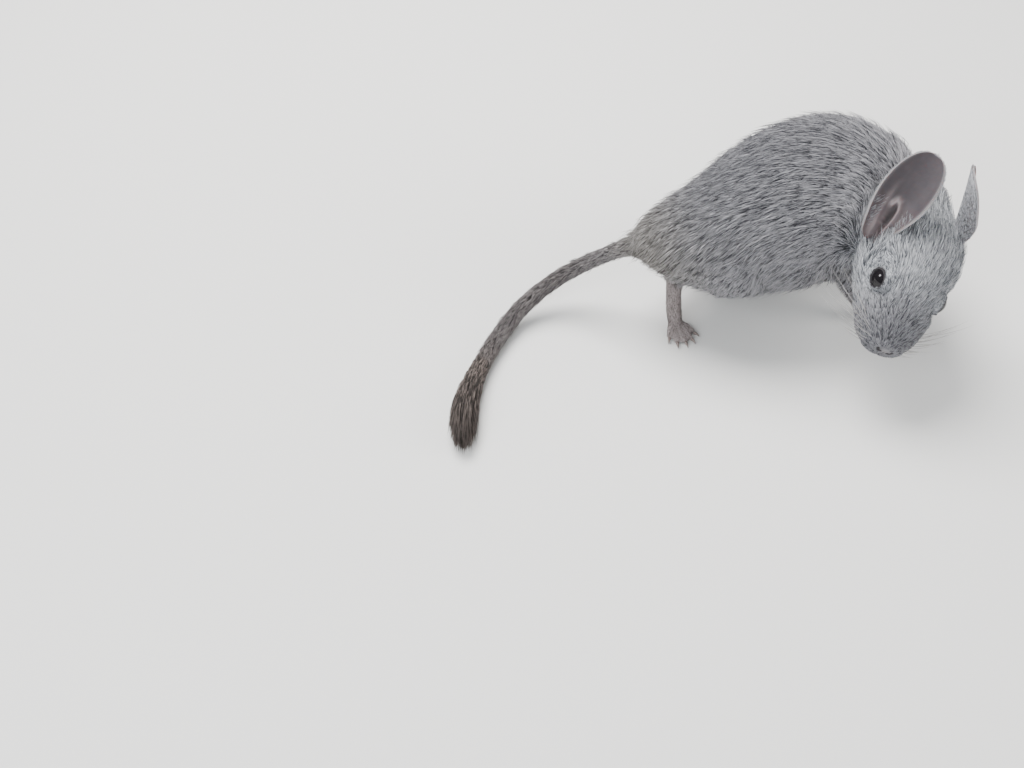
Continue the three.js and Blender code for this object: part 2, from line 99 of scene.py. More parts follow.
camera = bpy.data.objects.new("camera", bpy.data.cameras.new("camera"))
bpy.context.scene.collection.objects.link(camera)
camera.data.lens = CAMERA_LENS
camera.data.sensor_width = 36.0
camera.data.clip_start, camera.data.clip_end = 0.01, 20
right, forward = unit(CAMERA_RIGHT), unit(CAMERA_FORWARD)
turn = np.stack([right, np.cross(right, forward), -forward], axis=1)
camera.matrix_world = Matrix.Translation(metres(CAMERA_PLACE)) @ Matrix(turn.tolist()).to_4x4()
bpy.context.scene.camera = camera

# Studio: a plain pale floor under the model and soft light from three large lamps, the strongest
# high behind it to its left, as daylight falls on the animal, over an even pale surround. A small
# fourth lamp shows only as a glint in what is glossy.
FLOOR_COLOUR = (0.66, 0.66, 0.65, 1)
FLOOR_REACH = 4
SURROUND_COLOUR = (0.86, 0.88, 0.91, 1)
SURROUND_STRENGTH = 0.5
LAMPS_AIM_AT = np.array((0, 0, 25))
LAMPS = {
    # name: place, size, watts, colour
    "lamp_high": ((-120, 260, 520), 420, 9.5, (1.0, 0.98, 0.96)),
    "lamp_front": ((-420, -380, 360), 500, 5.0, (0.96, 0.98, 1.0)),
    "lamp_side": ((520, -260, 300), 360, 3.4, (1.0, 0.97, 0.94)),
    "lamp_glint": ((-220, 43, 288), 110, 0.75, (1.0, 1.0, 1.0)),
}


class Socket:
    """One output of a shader tree, on which the usual operators add Math nodes."""

    def __init__(self, tree, link):
        self.tree, self.link = tree, link

    def math(self, operation, *values):
        return self.tree.node("ShaderNodeMath", {"operation": operation}, *values)

    def __add__(self, other):
        return self.math("ADD", self, other)

    def __sub__(self, other):
        return self.math("SUBTRACT", self, other)

    def __mul__(self, other):
        return self.math("MULTIPLY", self, other)

    def __truediv__(self, other):
        return self.math("DIVIDE", self, other)

    def __rsub__(self, other):
        return self.math("SUBTRACT", other, self)

    __radd__, __rmul__ = __add__, __mul__

    def clamped(self):
        return self.math("MINIMUM", self.math("MAXIMUM", self, 0.0), 1.0)

    def risen(self, low, high):
        """How far the value has come from low (0) to high (1)."""
        return ((self - low) / (high - low)).clamped()


class Finish:
    """A material whose tree is written as Python expressions."""

    def __init__(self, name, **fixed):
        self.material = bpy.data.materials.new(name)
        self.material.use_nodes = True
        self.nodes = self.material.node_tree.nodes
        self.links = self.material.node_tree.links
        self.shader = self.nodes["Principled BSDF"]
        for name, value in fixed.items():
            title = name.replace("_", " ").title().replace("Ior", "IOR")
            self.shader.inputs[title].default_value = value

    def feed(self, socket, value):
        """Links a varying value to a node's socket, or sets a plain one on it."""
        if isinstance(value, Socket):
            self.links.new(value.link, socket)
        else:
            socket.default_value = value

    def node(self, kind, settings=None, *values, output=0, **named):
        made = self.nodes.new(kind)
        for key, value in (settings or {}).items():
            setattr(made, key, value)
        for key, value in [*enumerate(values), *named.items()]:
            self.feed(made.inputs[key], value)
        return Socket(self, made.outputs[output])

    def attribute(self, name):
        return self.node("ShaderNodeAttribute", {"attribute_name": name}, output="Fac")

    def noise(self, scale, detail):
        """Noise over the piece's own places, with so many cycles in a metre."""
        place = self.node("ShaderNodeTexCoord", output="Object")
        return self.node("ShaderNodeTexNoise", output="Fac", Vector=place, Scale=scale, Detail=detail)

    def blend(self, share, a, b):
        """Colour a where share is 0 and b where it is 1."""
        made = self.nodes.new("ShaderNodeMix")
        made.data_type = "RGBA"
        made.clamp_factor = True
        for index, value in ((0, share), (6, a), (7, b)):
            self.feed(made.inputs[index], value)
        return Socket(self, made.outputs[2])

    def bump(self, height, strength, distance):
        return self.node("ShaderNodeBump", Height=height, Strength=strength, Distance=distance)

    def set(self, **inputs):
        for name, value in inputs.items():
            self.feed(self.shader.inputs[name.replace("_", " ")], value)


floor_mesh = bpy.data.meshes.new("floor")
floor_corners = np.array([(-1, -1, 0), (1, -1, 0), (1, 1, 0), (-1, 1, 0)]) * FLOOR_REACH
floor_mesh.from_pydata(floor_corners.tolist(), [], [(0, 1, 2, 3)])
floor = bpy.data.objects.new("floor", floor_mesh)
bpy.context.scene.collection.objects.link(floor)
floor_finish = Finish("pale floor", roughness=0.9, base_color=FLOOR_COLOUR)
floor_mesh.materials.append(floor_finish.material)

for name, (place, size, watts, colour) in LAMPS.items():
    lamp = bpy.data.lights.new(name, "AREA")
    lamp.shape = "DISK"
    lamp.size = size * 0.001
    lamp.energy = watts
    lamp.color = colour
    holder = bpy.data.objects.new(name, lamp)
    bpy.context.scene.collection.objects.link(holder)
    holder.location = metres(place)
    holder.visible_glossy = name == "lamp_glint"
    holder.visible_diffuse = name != "lamp_glint"
    holder.rotation_euler = Vector(LAMPS_AIM_AT - place).to_track_quat("-Z", "Y").to_euler()

world = bpy.data.worlds.new("surround")
world.use_nodes = True
world.node_tree.nodes["Background"].inputs[0].default_value = SURROUND_COLOUR
world.node_tree.nodes["Background"].inputs[1].default_value = SURROUND_STRENGTH
bpy.context.scene.world = world

# Skin: the hide under the coat, one closed surface over trunk, neck, head, legs and tail. It is grown
# from the solids, merged and smoothed, drawn in by the depth of the coat, and then worked at the eyes,
# nose, mouth and toes. Bare skin shows only on the soles, toes and tip of the nose.
FLESH = {
    # node: depth of the coat over the skin
    "torso": 2.0, "neck": 2.0, "head": 0.85, "tail_base": 0.75, "tail_middle": 0.7,
    "foreleg_right": 1.0, "foreleg_left": 1.0, "hindleg_right": 1.5, "hindleg_left": 1.5,
    "forepaw_right": 0.12, "forepaw_left": 0.12, "hindfoot_right": 0.15, "hindfoot_left": 0.15,
}
FLESH_NAMES = list(FLESH)
FEET = [FLESH_NAMES.index(n) for n in FLESH if "paw" in n or "foot" in n]
# How deep the coat lies on the head, at these places from its seat forward to the nose
HEAD_DEPTH_AT, HEAD_DEPTHS = (0, 14, 30, 42), (1.8, 1.1, 0.7, 0.3)
TAIL_ROOT_DEPTH, TAIL_ROOT_BLEND = 0.85, (5, 24)
BRUSH_DEPTH, BRUSH_REACH = 0.9, 17
SKIN_VOXEL = 0.42
GAP_FILL = 0.24
SMOOTHING_ROUNDS, FEET_ROUNDS = 14, 3
SMOOTHING_STEPS = (0.5, -0.52)
LOWEST_SKIN = 0.02
EYE_RADIUS, EYE_BACKING = 3.4, 0.5
TAIL_POINTS = [
    (-41.05, 1, 28.5), (-48, 4.2, 24), (-54, 7.6, 18.5), (-64.5, 10, 11), (-76, 6.7, 5.6),
    (-85.5, -1.4, 3.2), (-94.6, -13.2, 3.3), (-99.6, -22, 3.6), (-102.6, -29.5, 3.8), (-104.4, -36.5, 3.5),
]
TAIL_CORE_RADII = (2.6, 1.3)
SPAN_STEPS = 24


def between(spots, knots, line):
    """Points at the given spots of a line whose own points stand at the knots."""
    return np.stack([np.interp(spots, knots, column) for column in np.transpose(line)], axis=1)


def through(points, count):
    """A smooth line through the points, as evenly spaced points."""
    points = np.array(points, float)
    ends = np.concatenate([[2 * points[0] - points[1]], points, [2 * points[-1] - points[-2]]])
    knots = np.concatenate([[0], np.cumsum(np.sqrt(np.linalg.norm(np.diff(ends, axis=0), axis=1)))])
    line = []
    for i in range(1, len(ends) - 2):
        t = np.linspace(knots[i], knots[i + 1], SPAN_STEPS, endpoint=i == len(ends) - 3)[:, None]
        p, k = ends[i - 1:i + 3], knots[i - 1:i + 3]
        a = [((k[j + 1] - t) * p[j] + (t - k[j]) * p[j + 1]) / (k[j + 1] - k[j]) for j in range(3)]
        b = [((k[j + 2] - t) * a[j] + (t - k[j]) * a[j + 1]) / (k[j + 2] - k[j]) for j in range(2)]
        line.append(((k[2] - t) * b[0] + (t - k[1]) * b[1]) / (k[2] - k[1]))
    line = np.concatenate(line)
    run = np.concatenate([[0], np.cumsum(np.linalg.norm(np.diff(line, axis=0), axis=1))])
    return between(np.linspace(0, run[-1], count), run, line)


TAIL = through(TAIL_POINTS, 241)
TAIL_ALONG = unit(np.gradient(TAIL, axis=0))


def read(mesh):
    """Corner places in millimetres and the triangles of a mesh."""
    mesh.calc_loop_triangles()
    places = np.empty(len(mesh.vertices) * 3)
    mesh.vertices.foreach_get("co", places)
    triangles = np.empty(len(mesh.loop_triangles) * 3, np.int64)
    mesh.loop_triangles.foreach_get("vertices", triangles)
    return millimetres(places.reshape(-1, 3)), triangles.reshape(-1, 3)


def corner_normals(places, triangles):
    p = places[triangles]
    face = np.cross(p[:, 1] - p[:, 0], p[:, 2] - p[:, 0])
    total = np.zeros_like(places)
    for i in range(3):
        np.add.at(total, triangles[:, i], face)
    return unit(total)


def neighbour_mean(triangles, count):
    """A function that averages a value over the neighbours of each corner."""
    edges = np.concatenate([triangles[:, [0, 1]], triangles[:, [1, 2]], triangles[:, [2, 0]]])
    edges = np.unique(np.sort(edges, axis=1), axis=0)
    number = np.bincount(edges.ravel(), minlength=count).clip(1)
    a, b = edges.T

    def mean(values):
        values = values if values.ndim > 1 else values[:, None]
        total = [np.bincount(a, column[b], count) + np.bincount(b, column[a], count) for column in values.T]
        return np.stack(total, axis=1) / number[:, None]

    return mean


def merged_copy(node):
    """A node's mesh as merged corners and triangles; the node itself stays as it is."""
    made = bmesh.new()
    made.from_mesh(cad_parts[node].data)
    bmesh.ops.remove_doubles(made, verts=made.verts, dist=2e-6)
    mesh = bpy.data.meshes.new("copy")
    made.to_mesh(mesh)
    made.free()
    places, triangles = read(mesh)
    bpy.data.meshes.remove(mesh)
    return places, triangles


def rod(line, radii, sides):
    """A closed round rod along a line of points, as corner places and triangles."""
    line, radii = np.array(line, float), np.array(radii, float)
    along = unit(np.gradient(line, axis=0))
    side = unit(np.cross((0.13, 0.21, 1), along))
    up = np.cross(along, side)
    turn_round = np.linspace(0, 2 * np.pi, sides, endpoint=False)
    ring = side[:, None] * np.cos(turn_round)[:, None] + up[:, None] * np.sin(turn_round)[:, None]
    places = (line[:, None] + ring * radii[:, None, None]).reshape(-1, 3)
    faces = []
    for i in range(len(line) - 1):
        for j in range(sides):
            a, b = i * sides + j, i * sides + (j + 1) % sides
            faces += [(a, b, b + sides), (a, b + sides, a + sides)]
    for start, flip in ((0, True), ((len(line) - 1) * sides, False)):
        for j in range(1, sides - 1):
            corner = (start, start + j, start + j + 1)
            faces.append(corner[::-1] if flip else corner)
    return places, np.array(faces)


def ball(centre, radius):
    made = bmesh.new()
    bmesh.ops.create_icosphere(made, subdivisions=3, radius=radius)
    places = np.array([v.co for v in made.verts]) + centre
    faces = np.array([[v.index for v in f.verts] for f in made.faces])
    made.free()
    return places, faces


def new_mesh(name, places, triangles):
    """A smooth-shaded mesh from corner places in millimetres and its faces' corners."""
    mesh = bpy.data.meshes.new(name)
    mesh.vertices.add(len(places))
    mesh.vertices.foreach_set("co", metres(places).astype(np.float32).ravel())
    mesh.loops.add(triangles.size)
    mesh.loops.foreach_set("vertex_index", triangles.astype(np.int32).ravel())
    mesh.polygons.add(len(triangles))
    mesh.polygons.foreach_set("loop_start", np.arange(0, triangles.size, 3, dtype=np.int32))
    mesh.polygons.foreach_set("use_smooth", np.ones(len(triangles), bool))
    mesh.update(calc_edges=True)
    mesh.validate()
    return mesh


def new_piece(name, mesh):
    piece = bpy.data.objects.new(name, mesh)
    bpy.context.scene.collection.objects.link(piece)
    return piece


def paint(mesh, name, values):
    """Values on a mesh's corners, which its material reads."""
    made = mesh.attributes.new(name, "FLOAT", "POINT")
    made.data.foreach_set("value", np.asarray(values, np.float32))


def put_in(piece, mesh):
    """Gives the piece another mesh and hands back the old one."""
    old = piece.data
    piece.data = mesh
    return old


def evaluated(piece):
    """The piece's mesh with its modifiers applied, which are then removed."""
    bpy.context.view_layer.update()
    graph = bpy.context.evaluated_depsgraph_get()
    mesh = bpy.data.meshes.new_from_object(piece.evaluated_get(graph))
    piece.modifiers.clear()
    bpy.data.meshes.remove(put_in(piece, mesh))
    return mesh


# The solids of flesh, a core for the tail's brush and a ball behind each lid, swollen to close the gaps
solids = [merged_copy(node) for node in FLESH]
owner_places = np.concatenate([p for p, _ in solids])
owner_faces, owner_of, parts, start = [], [], [], 0
for index, (places, triangles) in enumerate(solids):
    owner_faces.append(triangles + start)
    owner_of += [index] * len(triangles)
    start += len(places)
    parts.append((places + corner_normals(places, triangles) * GAP_FILL, triangles))
owner_of = np.array(owner_of)
owners = BVHTree.FromPolygons(owner_places.tolist(), np.concatenate(owner_faces).tolist())
tail_core = TAIL[170:222]
parts.append(rod(tail_core, np.linspace(*TAIL_CORE_RADII, len(tail_core)), sides=12))
for side in (-1, 1):
    parts.append(ball(from_head(EYE_PLACE * (1, side, 1)), EYE_RADIUS + EYE_BACKING))
offsets = np.cumsum([0] + [len(p) for p, _ in parts])
skin = new_piece("skin", new_mesh("skin", np.concatenate([p for p, _ in parts]),
                                  np.concatenate([t + o for (_, t), o in zip(parts, offsets)])))
remesh = skin.modifiers.new("one surface", "REMESH")
remesh.mode = "VOXEL"
remesh.voxel_size = SKIN_VOXEL * 0.001
places, triangles = read(evaluated(skin))

# Which part of the body each corner belongs to and how deep the coat lies over it
part = owner_of[np.array([owners.find_nearest(p)[2] for p in places])]
mean = neighbour_mean(triangles, len(places))
depth = np.array(list(FLESH.values()))[part]
depth = np.where(((places - TAIL[-30]) ** 2).sum(1) < BRUSH_REACH ** 2, BRUSH_DEPTH, depth)


def step(value, low, high):
    """Rises smoothly from 0 at low to 1 at high; falls where low is the larger."""
    t = np.clip((value - low) / (high - low), 0, 1)
    return t * t * (3 - 2 * t)


off_tail = step(np.linalg.norm(places - TAIL[0], axis=1), *TAIL_ROOT_BLEND)
by_tail = TAIL_ROOT_DEPTH + (depth - TAIL_ROOT_DEPTH) * off_tail
depth = np.where(part == FLESH_NAMES.index("torso"), by_tail, depth)
local = to_head(places)
is_head = part == FLESH_NAMES.index("head")
depth = np.where(is_head, np.interp(local[:, 0], HEAD_DEPTH_AT, HEAD_DEPTHS), depth)
for _ in range(SMOOTHING_ROUNDS):
    depth = mean(depth)[:, 0]
on_feet = np.isin(part, FEET)[:, None]
for i in range(SMOOTHING_ROUNDS):
    for amount in SMOOTHING_STEPS:
        moved = places + amount * (mean(places) - places)
        places = np.where(on_feet, moved if i < FEET_ROUNDS else places, moved)
places = places - corner_normals(places, triangles) * (depth + GAP_FILL)[:, None]
places[:, 2] = np.maximum(places[:, 2], LOWEST_SKIN)

# Finer faces round the eyes and over the muzzle, which carry the lids, nostrils and lips
EYE_GAZE = np.array((0.3, 1, 0.3))
OPENING = (2.4, 2.25)
LID_OVER_EYE = 0.12
LID_RIDGE, LID_RIDGE_AT, LID_RIDGE_WIDTH = 0.14, 1.08, 0.07
NOSTRIL = np.array([(43.5, 1.1, -0.7), (43.2, 1.5, -0.85), (42.8, 1.85, -0.6), (42.4, 2.05, -0.2)])
NOSTRIL_DEPTH, NOSTRIL_EDGE, MOUTH_DEPTH = 0.55, 0.15, 0.35
# Each round of splitting: from how far forward on the muzzle, to how far round the eye's opening
FINER = ((34, 2.2), (60, 1.5))


def round_eye(local, side):
    """Distance from the eye's centre, direction from it, and place against the edge of the opening (1)."""
    gaze = unit(EYE_GAZE * (1, side, 1))
    along = unit(np.array((1.0, 0, 0)) - gaze * gaze[0])
    up = np.cross(along, gaze) * -side
    away = local - EYE_PLACE * (1, side, 1)
    reach = np.linalg.norm(away, axis=1)
    a, b, front = away @ along / reach, away @ up / reach, away @ gaze / reach
    ring = np.hypot(a * EYE_RADIUS / OPENING[0], b * EYE_RADIUS / OPENING[1])
    return reach, away / reach[:, None], np.where(front > 0, ring, 9.0)


def finer(places, triangles, chosen):
    """Splits the faces around the chosen corners; gives the new corners and triangles."""
    made = bmesh.new()
    for p in places:
        made.verts.new(p)
    made.verts.ensure_lookup_table()
    made.verts.index_update()
    for t in triangles:
        made.faces.new([made.verts[i] for i in t])
    edges = [e for e in made.edges if chosen[e.verts[0].index] and chosen[e.verts[1].index]]
    bmesh.ops.subdivide_edges(made, edges=edges, cuts=1, use_grid_fill=True)
    bmesh.ops.triangulate(made, faces=[f for f in made.faces if len(f.verts) > 3])
    made.verts.index_update()
    out = np.array([v.co for v in made.verts]), np.array([[v.index for v in f.verts] for f in made.faces])
    made.free()
    return out


def near_face_parts(places, muzzle_from, eye_within):
    local = to_head(places)
    chosen = (local[:, 0] > muzzle_from) & (np.abs(local[:, 1]) < 12) & (np.abs(local[:, 2]) < 12)
    for side in (-1, 1):
        reach, _, ring = round_eye(local, side)
        chosen |= (ring < eye_within) & (reach < 6)
    return chosen


for muzzle_from, eye_within in FINER:
    places, triangles = finer(places, triangles, near_face_parts(places, muzzle_from, eye_within))
part = np.concatenate([part, [owner_of[owners.find_nearest(p)[2]] for p in places[len(part):]]])

local = to_head(places)
for side in (-1, 1):
    reach, away, ring = round_eye(local, side)
    ridge = LID_RIDGE * np.exp(-((ring - LID_RIDGE_AT) / LID_RIDGE_WIDTH) ** 2)
    lid = EYE_RADIUS + LID_OVER_EYE + ridge
    held = step(ring, 2.0, 1.25)
    floor_reach = EYE_RADIUS + LID_OVER_EYE - 1.8 * step(ring, 1.9, 3.4)
    outside = (1 - held) * np.maximum(reach, floor_reach) + held * lid
    wanted = np.where(ring < 0.97, EYE_RADIUS - 0.6, np.where(ring < 1.03, EYE_RADIUS + 0.08, outside))
    near = (ring < 3.4) & (reach < 6.5)
    local = np.where(near[:, None], EYE_PLACE * (1, side, 1) + away * wanted[:, None], local)

# Nostrils, lips and the cleft of the upper lip, pressed into the muzzle
wanted = np.concatenate([NOSTRIL * (1, side, 1) for side in (-1, 1)])
nostrils = local[np.argmin([((local - q) ** 2).sum(1) for q in wanted], axis=1)]
from_nostril = np.min([np.linalg.norm(local - q, axis=1) for q in nostrils], axis=0)
lip = -6.4 + 0.158 * (local[:, 0] - 35.5)
cleft = np.exp(-(local[:, 1] / 0.28) ** 2) * step(local[:, 2], lip - 0.2, lip + 0.3) * \
    step(local[:, 2], 0.3, -0.8) * step(local[:, 0], 38.5, 41)
mouth = np.maximum(np.exp(-((local[:, 2] - lip) / 0.3) ** 2) * step(local[:, 0], 32, 36), cleft)
muzzle = local[:, 0] > 33
push = NOSTRIL_EDGE * np.exp(-((from_nostril - 1.0) / 0.3) ** 2)
push = push - NOSTRIL_DEPTH * np.exp(-(from_nostril / 0.42) ** 2) - MOUTH_DEPTH * mouth
places = from_head(local) + corner_normals(from_head(local), triangles) * (push * muzzle)[:, None]
normals = corner_normals(places, triangles)
mean = neighbour_mean(triangles, len(places))

# The direction in which the hair lies, from the nose over the back to the tail's tip and down the legs
TIP_OF_NOSE = from_head((45.4, 0, -1))
NOSE_PAD, NOSE_SIZE = np.array((43.2, 0, -0.3)), np.array((1.5, 1.7, 1.0))
LEG_LIE = {
    "foreleg_right": (-0.15, 0, -1), "foreleg_left": (-0.15, 0, -1), "hindleg_right": (-0.5, 0.1, -1),
    "hindleg_left": (-0.45, 0, -1), "forepaw_right": (0.9, -0.3, -0.4), "forepaw_left": (0.9, 0.1, -0.4),
    "hindfoot_right": (-0.05, -0.4, -0.9), "hindfoot_left": (1, 0.2, -0.1),
}
MIDLINE = through([
    (7, -52, 23), (18.5, -35, 32), (27.5, -19, 40), (23, -10, 41), (12, -3, 41), (0, 0, 40),
    (-15, 1, 38), (-42, 1, 28.5),
], 61)
MIDLINE_ALONG = unit(np.gradient(MIDLINE, axis=0))
MIDLINE_NEARBY = 7.0


def down_the_body(points):
    """The way along the body's midline, from the nose round the neck to the tail, near each point."""
    far = (points ** 2).sum(1)[:, None] + (MIDLINE ** 2).sum(1) - 2 * points @ MIDLINE.T
    near = np.exp((far.min(1, keepdims=True) - far) / (2 * MIDLINE_NEARBY ** 2))
    return unit(near @ MIDLINE_ALONG)


lie = np.zeros_like(places)
for index, name in enumerate(FLESH_NAMES):
    here = part == index
    if name in ("torso", "neck"):
        lie[here] = down_the_body(places[here])
        lie[here, 2] -= 0.12 + 0.55 * (1 - np.abs(normals[here, 2])) * step(places[here, 2], 52, 30)
    elif name == "head":
        lie[here] = unit(places[here] - TIP_OF_NOSE)
    elif name.startswith("tail"):
        order = np.argmin(((places[here][:, None, :] - TAIL[None, ::4]) ** 2).sum(2), axis=1) * 4
        lie[here] = TAIL_ALONG[np.minimum(order, len(TAIL) - 1)]
    else:
        lie[here] = LEG_LIE[name]


def along_skin(vectors, normals):
    return unit(vectors - normals * (vectors * normals).sum(1, keepdims=True))


lie = along_skin(unit(lie), normals)
for _ in range(30):
    lie = along_skin(mean(lie), normals)

# Markings, shared by skin and coat: pale face, cream by the tail's root, darker tail, bare pink feet, and
# some painted shade
WARM_PLACE, WARM_REACH = (-38, 0, 27), 12
MARK_ROUNDS = 16
local = to_head(places)


def in_parts(*names):
    return np.isin(part, [FLESH_NAMES.index(n) for n in FLESH if n.startswith(names)]).astype(float)


nearest_tail = np.array([np.argmin(((TAIL[::6] - q) ** 2).sum(1)) * 6 for q in places]) / (len(TAIL) - 1)
down_tail = 0.3 + 0.4 * step(nearest_tail, 0.02, 0.3) + 0.3 * step(nearest_tail, 0.55, 0.8)
low_leg = in_parts("foreleg", "hindleg") * step(places[:, 2], 20, 9)
marks = {
    "frost": in_parts("head"), "tail": in_parts("tail") * down_tail,
    "bare": in_parts("forepaw", "hindfoot") + 0.5 * low_leg,
    "warm": np.exp(-((places - WARM_PLACE) ** 2).sum(1) / WARM_REACH ** 2),
    # Darker on top of the back and towards the nose: partly darker hair, partly painted shade
    "dusky_hair_and_shade": 0.5 * in_parts("torso", "neck") * step(normals[:, 2], 0.3, 0.95)
    + in_parts("head") * np.interp(local[:, 0], (27, 38), (0, 0.95)),
}
for name in marks:
    for _ in range(MARK_ROUNDS):
        marks[name] = mean(marks[name])[:, 0]
EARS = {
    # side, root and axis in the head's frame, the way the hollow faces
    "ear_right": (-1, (13.9, -12.7, 5.0), (-0.61, 0.02, 0.79), (0.66, -0.55, 0.52)),
    "ear_left": (1, (7.4, 8.0, 6.2), (-0.32, -0.33, 0.85), (-0.15, 0.94, 0.3)),
}


def ear_frame(side, axis, facing):
    tip = unit(axis)
    hollow = unit(np.array(facing, float) - tip * np.dot(facing, tip))
    return tip, hollow, np.cross(tip, hollow)


def conch(local):
    """How far inside the floor of either ear's hollow a place on the head lies, 0 to 1."""
    inside = np.zeros(len(local))
    for side, ear_root, axis, facing in EARS.values():
        away = (local - ear_root) @ np.stack(ear_frame(side, axis, facing)).T
        spot = ((away[:, 0] + 0.5) / 5) ** 2 + ((away[:, 1] - 2.4) / 2.8) ** 2 + (away[:, 2] / 3.9) ** 2
        inside = np.maximum(inside, step(spot, 1.25, 0.85))
    return inside


marks["conch"] = conch(local)
# Dark rims of the eyelids, and painted shade, near black, in the nostrils and along the mouth's crease
dark = [step(from_nostril, 0.7, 0.35), 0.8 * mouth * in_parts("head")]
for side in (-1, 1):
    reach, _, ring = round_eye(local, side)
    dark.append(step(ring, 1.24, 1.08) * (reach < 6))
marks["lid"] = np.max(dark, axis=0)
nose = np.exp(-((local - NOSE_PAD) ** 2 / NOSE_SIZE ** 2).sum(1))
marks["bare"] = np.maximum(marks["bare"], 0.4 * nose)
# Towards the nose the face is darker: partly its shorter, darker hair, partly painted shade
marks["frost"] = marks["frost"] * np.interp(local[:, 0], (30, 42), (1, 0.25))

mesh = new_mesh("skin", places, triangles)
bpy.data.meshes.remove(put_in(skin, mesh))
for name, values in marks.items():
    paint(mesh, name, values)
mesh.uv_layers.new(name="OFBake")
bpy.context.view_layer.objects.active = skin
skin.select_set(True)
bpy.ops.object.mode_set(mode="EDIT")
bpy.ops.mesh.select_all(action="SELECT")
bpy.ops.uv.smart_project(angle_limit=1.15, island_margin=0.002)
bpy.ops.object.mode_set(mode="OBJECT")
skin.select_set(False)
mesh = skin.data

SHADES = {
    # mark: light hair, dark hair
    "plain": ((0.295, 0.292, 0.308), (0.042, 0.042, 0.048)),
    "frost": ((0.385, 0.398, 0.42), (0.072, 0.077, 0.087)),
    # darker on the back's top and the muzzle: partly darker hair, partly painted shade
    "dusky_hair_and_shade": ((0.19, 0.192, 0.207), (0.03, 0.03, 0.035)),
    "warm": ((0.34, 0.32, 0.295), (0.07, 0.064, 0.058)),
    "tail": ((0.125, 0.104, 0.094), (0.024, 0.0205, 0.019)),
    "bare": ((0.27, 0.236, 0.231), (0.105, 0.087, 0.086)),
    "conch": ((0.16, 0.125, 0.13), (0.075, 0.058, 0.062)),
    # lid: the dark rims of the eyelids, and painted shade in the nostrils and the mouth's crease
    "lid": ((0.03, 0.027, 0.03), (0.014, 0.013, 0.014)),
}
SKIN_GRAIN = 2400.0


def marked(finish, which):
    """The light (0) or dark (1) colour of the hair at a place, by the markings and painted shade on the
    piece.
    """
    colour = (*SHADES["plain"][which], 1)
    for mark in list(SHADES)[1:]:
        colour = finish.blend(finish.attribute(mark), colour, (*SHADES[mark][which], 1))
    return colour


skin_finish = Finish("undercoat", roughness=0.75)
fine = skin_finish.noise(SKIN_GRAIN, 2.0)
share = (fine * 0.5 + 0.15 - skin_finish.attribute("bare") * 0.35).clamped()
skin_finish.set(Base_Color=skin_finish.blend(share, marked(skin_finish, 0), marked(skin_finish, 1)),
                Normal=skin_finish.bump(fine, 0.25, 0.0002))
mesh.materials.append(skin_finish.material)
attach(skin, "root")
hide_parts(*FLESH)

# Coat: short, fine, close-lying hair with dark ticking over the whole animal. It is made of more than a
# hundred thousand small bent tapered tufts, rooted in the skin and following its lie, joined piece by
# piece.
FUR = {
    # part: tufts in a square millimetre, length, width
    "torso": (8.6, 5.0, 0.30), "neck": (8.6, 4.6, 0.30), "head": (11.5, 4.1, 0.27),
    "foreleg": (7.0, 2.8, 0.32), "hindleg": (7.0, 3.2, 0.34), "forepaw": (6.5, 1.0, 0.19),
    "hindfoot": (6.5, 1.05, 0.19), "tail": (9.5, 3.3, 0.30),
}
TUFT_SEED = 11
TUFTS_IN_PIECE = 19000
TUFT_SHAPE = np.array([
    (0, 1, 2), (0, 3, 4), (0, 4, 1), (1, 4, 5), (1, 5, 2), (2, 5, 3), (2, 3, 0), (3, 6, 4), (4, 6, 5),
    (5, 6, 3),
])
TUFT_BEND_WIDTH, TUFT_BEND_HEIGHT = 0.85, 0.75
TUFT_PATCH = np.array([(-1.5, -1.5), (1.5, -1.5), (0, -1), (-1.2, 0), (1.2, 0), (0, 0.4), (0, 1.5)]) * 0.001


def tuft_piece(name, base, middle, tip, up, width, values, uv):
    """One piece of closed bent tufts, three-sided and running to a point."""
    along = unit(tip - base)
    across = unit(np.cross(along, up))
    up = np.cross(across, along)
    half = (width * 0.5)[:, None]
    corners = np.stack([
        base - across * half, base + across * half, base + up * half,
        middle - across * half * TUFT_BEND_WIDTH, middle + across * half * TUFT_BEND_WIDTH,
        middle + up * half * TUFT_BEND_HEIGHT, tip,
    ], axis=1)
    count = len(base)
    faces = (np.arange(count)[:, None, None] * 7 + TUFT_SHAPE[None]).reshape(-1, 3)
    mesh = new_mesh(name, corners.reshape(-1, 3), faces)
    paint(mesh, "along", np.tile((0, 0, 0, 0.5, 0.5, 0.5, 1), count))
    for key, value in values.items():
        paint(mesh, key, np.repeat(value, 7))
    layer = mesh.uv_layers.new(name="OFBake")
    spots = (uv[:, None, :] + TUFT_PATCH[None]).reshape(-1, 2)
    layer.data.foreach_set("uv", spots[faces.ravel()].astype(np.float32).ravel())
    piece = new_piece(name, mesh)
    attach(piece, "root")
    return piece


def drift(places, size, seed):
    """A smooth random value, about -1 to 1, that changes over the given distance."""
    rng = np.random.default_rng(seed)
    total = np.zeros(len(places))
    for _ in range(7):
        wave = unit(rng.normal(size=3)) * 2 * np.pi / size * rng.uniform(0.6, 1.5)
        total += np.sin(places @ wave + rng.uniform(0, 2 * np.pi))
    return total / 3.2


skin_tree = BVHTree.FromPolygons(places.tolist(), triangles.tolist())


def on_skin(points):
    found = [skin_tree.find_nearest(p) for p in points]
    return np.array([f[0] for f in found]), np.array([f[1] for f in found])


